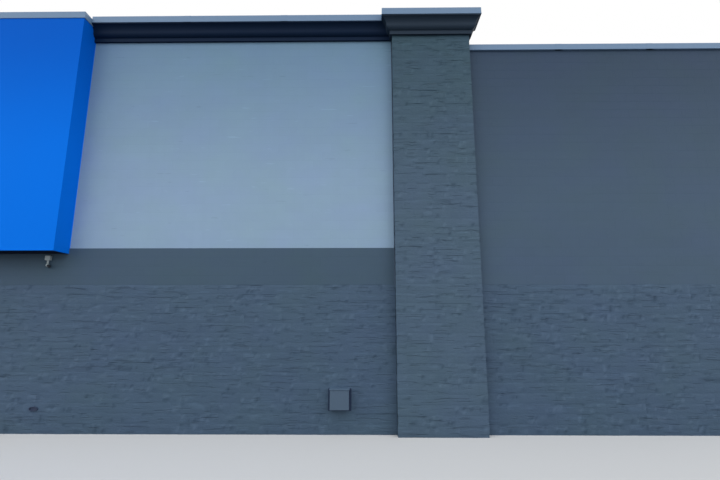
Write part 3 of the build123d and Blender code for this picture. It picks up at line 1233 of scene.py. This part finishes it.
@dataclass(frozen=True)
class VentBox:
    """A sheet-metal vent box with a sloped lid, bedded on the rough blocks in a seal whose dark colour is
    painted shadow round the box.

    The screw is given by radius and distance from the box.
    """

    node: str = "wall_vent_box"
    skin: float = 0.001
    bevel: float = 0.002
    lid_height: float = 0.021
    lid_lip: float = 0.010
    lid_fall: float = 0.007
    lid_reach: float = 0.012
    into_wall: float = 0.012
    shadow_gap: float = 0.010
    neck: float = 0.008
    neck_bevel: float = 0.0005
    seal_width: float = 0.045
    seal_depth: float = 0.012
    seal_rise: float = 0.010
    seal_bevel: float = 0.004
    screw: tuple[Pair, ...] = ((0.006, 0.0), (0.006, 0.001), (0.0036, 0.003))
    screw_inset: float = 0.020

    def build(self) -> list[Piece]:
        """Builds the vent box.

        Returns:
            The box, its lid and the seal of painted shadow.
        """
        low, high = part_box(self.node)
        back = high.y + self.into_wall
        front = low.y + self.lid_lip
        depth = high.y - low.y
        lid_foot = high.z - self.lid_height
        front_top = lid_foot - self.shadow_gap
        lid_front = high.z - self.lid_fall
        shell = MeshMaker()
        shell.bar((low.x + self.skin, high.x - self.skin), (front, back), (low.z, front_top), self.bevel)
        inset = self.skin + self.neck
        neck_depth = (front + self.neck, back)
        shell.bar((low.x + inset, high.x - inset), neck_depth, (front_top, lid_foot), self.neck_bevel)
        for x in (low.x + self.screw_inset, high.x - self.screw_inset):
            for z in (low.z + self.screw_inset, front_top - self.screw_inset):
                shell.turn(Vector((x, front, z)), OUTWARDS, self.screw, 12)
        section = [
            (-self.into_wall, lid_foot),
            (depth - self.bevel, lid_foot),
            (depth, lid_foot + self.bevel),
            (depth, lid_front - self.bevel),
            (depth - self.bevel, lid_front),
            (0.0, high.z),
            (-self.into_wall, high.z),
        ]
        lid = MeshMaker()
        lid.sweep([(low.x - self.lid_reach, high.y), (high.x + self.lid_reach, high.y)], section)
        # The seal stands out round the box in a dark finish: painted shadow.
        seal = MeshMaker()
        seal_x = (low.x - self.seal_width, high.x + self.seal_width)
        seal_z = (low.z - self.seal_width, lid_foot + self.seal_rise)
        seal.bar(seal_x, (high.y - self.seal_depth, back), seal_z, self.seal_bevel)
        return [
            shell.piece("wall_vent_box_body", FITTING_PAINT, [self.node]),
            lid.piece("wall_vent_box_lid", LID_PAINTED_LIGHT),
            seal.piece("wall_vent_box_painted_shadow_seal", PAINTED_SHADOW_SEAL),
        ]


@dataclass(frozen=True)
class SecurityCamera:
    """A small camera: a light wall box with a stem, a light ball, and a dark barrel with its lens.

    The mount is given by inset and height from its top. The barrel's shell, its rim with the recess and
    its domed lens are given by radius and distance from the ball's middle.
    """

    corner: float = 0.010
    corner_steps: int = 4
    mount_foot: tuple[Pair, ...] = ((0.005, -0.100), (0.0, -0.095))
    mount_seam: tuple[Pair, ...] = ((0.0, -0.072), (0.0015, -0.071), (0.0015, -0.069), (0.0, -0.068))
    mount_top: tuple[Pair, ...] = ((0.0, -0.005), (0.005, 0.0))
    stem_radius: float = 0.020
    collar_radius: float = 0.027
    collar_height: float = 0.010
    collar_edge: float = 0.002
    overlap: float = 0.004
    ball_radius: float = 0.036
    ball_drop: float = 0.030
    ball_foot: float = 0.08
    ball_steps: int = 18
    shell: tuple[Pair, ...] = ((0.0261, 0.0), (0.02784, 0.0425), (0.029, 0.0527), (0.029, 0.082))
    rim: tuple[Pair, ...] = ((0.026, 0.085), (0.023, 0.085), (0.022, 0.071))
    lens: tuple[Pair, ...] = ((0.014, 0.070), (0.0112, 0.074), (0.0056, 0.077), (0.001, 0.078))
    aim: tuple[float, float, float] = (0.84, -0.36, -0.40)

    def build(self) -> list[Piece]:
        """Builds the camera.

        Returns:
            The mount, the ball and the barrel.
        """
        low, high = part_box("camera_mount")
        head_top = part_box("camera_head")[1].z
        mount = MeshMaker()
        levels = (*self.mount_foot, *self.mount_seam, *self.mount_top)
        mount.rings([self._rounded(inset, drop) for inset, drop in levels])
        middle = Vector(((low.x + high.x) / 2, (low.y + high.y) / 2, head_top))
        length = high.z + self.mount_foot[0][1] - head_top
        collar_foot = length - self.collar_height
        profile = [
            (self.stem_radius, -self.overlap),
            (self.stem_radius, collar_foot - self.collar_edge),
            (self.collar_radius, collar_foot),
            (self.collar_radius, length + self.overlap),
        ]
        mount.turn(middle, UPWARDS, profile, 32)
        centre = middle - UPWARDS * self.ball_drop
        ball = MeshMaker()
        top_angle = math.asin(self.ball_drop / self.ball_radius)
        angles = np.linspace(self.ball_foot - math.pi / 2, top_angle, self.ball_steps)
        profile = [(self.ball_radius * math.cos(a), self.ball_radius * math.sin(a)) for a in angles]
        ball.turn(centre, UPWARDS, profile, 40)
        barrel = MeshMaker()
        barrel.turn(centre, Vector(self.aim), (*self.shell, *self.rim, *self.lens), 40)
        return [
            mount.piece("camera_mount_with_stem", CAMERA_SHELL, ["camera_mount"], smooth=30),
            ball.piece("camera_ball", CAMERA_SHELL, ["camera_head"], smooth=40),
            barrel.piece("camera_barrel_with_lens", CAMERA_BARREL, smooth=30),
        ]

    def _rounded(self, inset: float, drop: float) -> list[tuple[float, float, float]]:
        """One level of the mount, with round corners.

        Args:
            inset: How far the outline is moved in.
            drop: Its height from the box's top.

        Returns:
            Its points, counter-clockwise.
        """
        low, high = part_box("camera_mount")
        radius, reach = self.corner, self.corner - inset
        points = []
        centres = rectangle(low.x + radius, low.y + radius, high.x - radius, high.y - radius)
        for number, (x, y) in enumerate(centres):
            for step in range(self.corner_steps + 1):
                angle = math.pi / 2 * (number + 2 + step / self.corner_steps)
                points.append((x + math.cos(angle) * reach, y + math.sin(angle) * reach, high.z + drop))
        return points


@dataclass(frozen=True)
class Entrance:
    """Gaskets, threshold, header cover and sealant of the glazed entrance.

    The opening is half as wide as the doorway between the side lights.
    """

    frame_face: float = 0.050
    sill: float = 0.150
    opening: float = 1.100
    door_head: float = 2.300
    header: float = 0.180
    gasket: float = 0.009
    brush_share: float = 0.9
    brush_inset: float = 0.008
    brush_bevel: float = 0.0005
    cover: float = 0.008
    cover_inset: float = 0.012
    cover_bevel: float = 0.003
    bead: Pair = (-0.004, 0.001)
    plate: float = 0.003
    plate_nose: float = 0.030
    plate_edge: float = 0.004
    first_rib: float = 0.010
    rib_spacing: float = 0.015
    rib_height: float = 0.0015

    def build(self) -> list[Piece]:
        """Builds the entrance's details.

        Returns:
            Rubber, metal and sealant pieces.
        """
        low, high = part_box("entrance_frame")
        header_top = self.door_head + self.header
        side_x = (self.opening + self.frame_face, high.x - self.frame_face)
        sides = [side_x, (-side_x[1], -side_x[0])]
        by_glass = (high.y - self.gasket, high.y)
        rubber = MeshMaker()
        for x in sides:
            rubber.surround(x, (low.z + self.sill, self.door_head), self.gasket, by_glass)
        for x in [*sides, (-self.opening, self.opening)]:
            rubber.surround(x, (header_top, high.z - self.frame_face), self.gasket, by_glass)
        for hand in ("left", "right"):
            near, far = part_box(f"entrance_door_glass_{hand}")
            for y in ((near.y - self.gasket, near.y), (far.y, far.y + self.gasket)):
                rubber.surround((near.x, far.x), (near.z, far.z), self.gasket, y)
        leaf_low, leaf_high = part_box("entrance_door_right")
        half = leaf_low.x * self.brush_share
        leaf_y = (leaf_low.y + self.brush_inset, leaf_high.y - self.brush_inset)
        rubber.bar((-half, half), leaf_y, (leaf_low.z, leaf_high.z), self.brush_bevel)
        metal = MeshMaker()
        cover_x = self.opening - self.cover_inset
        cover_z = (self.door_head + self.cover_inset, header_top - self.cover_inset)
        metal.bar((-cover_x, cover_x), (low.y - self.cover, low.y), cover_z, self.cover_bevel)
        threshold = [(out, low.z + z) for out, z in self._threshold(low.y - high.y)]
        metal.sweep([(-self.opening, low.y), (self.opening, low.y)], threshold)
        sealant = MeshMaker()
        bead_y = (low.y + self.bead[0], low.y + self.bead[1])
        sealant.surround((low.x, high.x), (low.z, high.z), self.gasket, bead_y)
        return [
            rubber.piece("entrance_gaskets", RUBBER),
            metal.piece("entrance_threshold_and_header_cover", FRAME_METAL),
            sealant.piece("entrance_sealant", WALL_SEALANT),
        ]

    def _threshold(self, back: float) -> list[Pair]:
        """The ribbed section of the threshold.

        Args:
            back: Where it ends behind the frame's face, below 0.

        Returns:
            Distance outwards from the frame's face and height above the floor.
        """
        plate, nose, top = self.plate, self.plate_nose, self.plate + self.rib_height
        section = [(back, 0.0), (nose, 0.0), (nose, plate / 2), (nose - self.plate_edge, plate)]
        place = nose - self.first_rib
        while place > back + self.rib_spacing:
            for share, z in ((0.0, plate), (0.1, top), (0.4, top), (0.5, plate)):
                section.append((place - self.rib_spacing * share, z))
            place -= self.rib_spacing
        return [*section, (back, plate)]


@dataclass(frozen=True)
class Sealant:
    """Beads in the upright corners beside the piers and the sign box."""

    size: float = 0.010

    def build(self) -> list[Piece]:
        """Builds the beads.

        Returns:
            The beads at the piers and those at the sign box.
        """
        rough_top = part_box("front_split_face_wall_right")[1].z
        cornice_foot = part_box("front_cornice_right")[0].z
        pier_low, pier_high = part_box("front_pier_right")
        at_piers, at_box = MeshMaker(), MeshMaker()
        self._pair(at_piers, pier_low.x, -1, (rough_top, cornice_foot))
        self._pair(at_piers, pier_high.x, 1, (rough_top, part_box("wing_coping_right")[0].z))
        panel_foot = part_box("front_light_wall_right")[0].z
        self._pair(at_box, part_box("sign_box_side_right")[1].x, 1, (panel_foot, cornice_foot))
        return [
            at_piers.piece("pier_sealant_beads", WALL_SEALANT),
            at_box.piece("sign_box_sealant_beads", SIGN_BLUE),
        ]

    def _pair(self, maker: MeshMaker, x: float, outward: int, heights: Pair) -> None:
        """Adds one bead and its mirror image.

        Args:
            maker: Collects them.
            x: Where the corner stands in the right-hand half.
            outward: 1 where the wall runs on away from the middle, -1 where it runs towards it.
            heights: Foot and top.
        """
        for hand in (-1, 1):
            beside = hand * (x + outward * self.size)
            spots = [(x * hand, FRONT_Y), (beside, FRONT_Y), (x * hand, FRONT_Y - self.size)]
            spots = spots[:: -outward * hand]
            maker.rings([[(*spot, z) for spot in spots] for z in heights])


@dataclass(frozen=True)
class SignBoxTrim:
    """The drip along the sign box's foot and the strips between its soffit panels."""

    panel: float = 1.2
    strip_width: float = 0.030
    strip: Pair = (-0.002, 0.001)
    strip_bevel: float = 0.0008
    drip: float = 0.003
    drip_height: float = 0.025
    drip_inset: float = 0.004

    def build(self) -> list[Piece]:
        """Builds the trim.

        Returns:
            The drip and the soffit strips.
        """
        low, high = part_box("sign_box_front")
        foot, top = low.z - self.drip, low.z + self.drip_height
        section = [(-self.drip_inset, foot), (self.drip, foot), (self.drip, top - self.drip)]
        section += [(0.0, top), (-self.drip_inset, top)]
        drip = MeshMaker()
        drip.sweep([(low.x, FRONT_Y), (low.x, low.y), (high.x, low.y), (high.x, FRONT_Y)], section)
        strips = MeshMaker()
        count = math.floor((high.x - low.x) / self.panel)
        strip_z = (low.z + self.strip[0], low.z + self.strip[1])
        for number in range(1, count):
            x = low.x + (high.x - low.x) * number / count
            span = (x - self.strip_width / 2, x + self.strip_width / 2)
            strips.bar(span, (high.y, FRONT_Y), strip_z, self.strip_bevel)
        return [
            drip.piece("sign_box_foot_drip", SIGN_BLUE),
            strips.piece("sign_box_soffit_strips", SOFFIT_PAINTED_SHADE),
        ]


@dataclass(frozen=True)
class Painted:
    """The solids whose shape needs no more than a finish."""

    finishes: tuple[tuple[Finish, tuple[str, ...]], ...] = (
        (DARK_PAINT, ("sign_box_backing_wall",)),
        (CORNICE_PAINTED_SHADE, ("front_cornice_left", "front_cornice_right")),
        (CAPITAL_PAINT, ("pier_capital_left", "pier_capital_right")),
        (SIGN_BLUE, ("sign_box_front", "sign_box_side_left", "sign_box_side_right")),
        (SOFFIT_PAINTED_SHADE, ("sign_box_soffit",)),
        (FLOOR_CONCRETE, ("floor_slab",)),
        (ROOF_SHEET, ("roof_deck",)),
        (FRAME_METAL, ("entrance_frame", "entrance_door_left", "entrance_door_right")),
        (DOOR_GLASS, ("entrance_glass", "entrance_door_glass_left", "entrance_door_glass_right")),
        (OUTLET_PLASTIC, ("wall_outlet",)),
    )

    def build(self) -> list[Piece]:
        """Paints the solids.

        Returns:
            Them.
        """
        pieces = []
        for finish, nodes in self.finishes:
            for node in nodes:
                pieces.append(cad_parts[node])
                pieces[-1].data.materials.clear()
                pieces[-1].data.materials.append(finish.material())
        return pieces


@dataclass(frozen=True)
class Viewpoint:
    """The place, the aim and the lens of the view, set out from the sign box."""

    right_of_box: float = 6.541
    from_wall: float = 9.34
    eye_height: float = 2.27
    tilt_up: float = 10.72
    turn_left: float = 0.60
    lens: float = 21.5
    sensor: float = 36.0

    def build(self) -> None:
        """Makes the camera."""
        data = bpy.data.cameras.new("camera")
        data.lens = self.lens
        data.sensor_width = self.sensor
        camera = into_scene("camera", data)
        box_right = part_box("sign_box_front")[1].x
        camera.location = (box_right + self.right_of_box, FRONT_Y - self.from_wall, self.eye_height)
        camera.rotation_euler = (math.radians(90 + self.tilt_up), 0.0, math.radians(self.turn_left))
        bpy.context.scene.camera = camera


@dataclass(frozen=True)
class SoftLamp:
    """A distant lamp so wide that its shadows fade out.

    A turn of 0 shines straight at the front, and 90 from its right-hand end.
    """

    name: str
    strength: float
    height: float
    turn: float
    width: float = 60.0

    def build(self) -> None:
        """Hangs the lamp."""
        data = bpy.data.lights.new(self.name, "SUN")
        data.energy = self.strength
        data.angle = math.radians(self.width)
        lamp = into_scene(self.name, data)
        lamp.rotation_euler = (math.radians(90 - self.height), 0.0, math.radians(self.turn))


@dataclass(frozen=True)
class Studio:
    """A pale floor and plain soft light, the same from left and right."""

    floor_reach: float = 240.0
    floor_seen: Colour = srgb(214, 216, 218)
    floor_bounce: Colour = (0.28, 0.28, 0.28)
    sky_strength: float = 0.70
    lamps: tuple[SoftLamp, ...] = (
        SoftLamp("key", strength=0.75, height=55.0, turn=0.0),
        SoftLamp("left_fill", strength=0.85, height=18.0, turn=-50.0),
        SoftLamp("right_fill", strength=0.85, height=18.0, turn=50.0),
        SoftLamp("back_fill", strength=1.2, height=30.0, turn=180.0),
    )

    def build(self) -> None:
        """Makes the floor, the sky and the lamps, and sets the plain view."""
        self._floor()
        self._sky()
        for lamp in self.lamps:
            lamp.build()
        bpy.context.scene.view_settings.view_transform = "Standard"

    def _floor(self) -> None:
        """A level floor that looks pale and keeps the building's shadow."""
        reach = self.floor_reach
        mesh = bpy.data.meshes.new("floor")
        corners = [(*corner, 0.0) for corner in rectangle(-reach, -reach, reach, reach)]
        mesh.from_pydata(corners, [], [(0, 1, 2, 3)])
        floor = into_scene("floor", mesh)
        material = bpy.data.materials.new("floor")
        material.use_nodes = True
        graph = Graph(material.node_tree)
        seen = graph.node("ShaderNodeLightPath", {}, {}).outputs["Is Camera Ray"]
        graph.surface(graph.mix(seen, self.floor_bounce, self.floor_seen), 0.9, None, Specular_IOR_Level=0.1)
        mesh.materials.append(material)

    def _sky(self) -> None:
        """An even sky that is white to the camera, in glass and in reflections."""
        world = bpy.data.worlds.new("sky")
        world.use_nodes = True
        bpy.context.scene.world = world
        graph = Graph(world.node_tree)
        path = graph.node("ShaderNodeLightPath", {}, {}).outputs
        rays = [Value(graph, path[f"Is {kind} Ray"]) for kind in ("Camera", "Glossy", "Transmission")]
        shows = rays[0].most(rays[1]).most(rays[2])
        strength = shows * (1.0 - self.sky_strength) + self.sky_strength
        sky = graph.node("ShaderNodeBackground", {}, {0: (1.0, 1.0, 1.0), 1: strength})
        graph.node("ShaderNodeOutputWorld", {}, {0: sky.outputs[0]})


def main() -> None:
    """Builds the camera, then the building's parts in order, then the studio."""
    logging.basicConfig(level=logging.INFO, format="%(message)s")
    Viewpoint().build()
    total = 0
    parts = (Masonry, Copings, Roof, VentBox, SecurityCamera, Entrance, Sealant, SignBoxTrim, Painted)
    for part in parts:
        for piece in part().build():
            triangles = sum(len(face.vertices) - 2 for face in piece.data.polygons)
            total += triangles
            log.info("%s: %d triangles", piece.name, triangles)
    log.info("%d triangles in all", total)
    Studio().build()


if __name__ == "__main__":
    main()
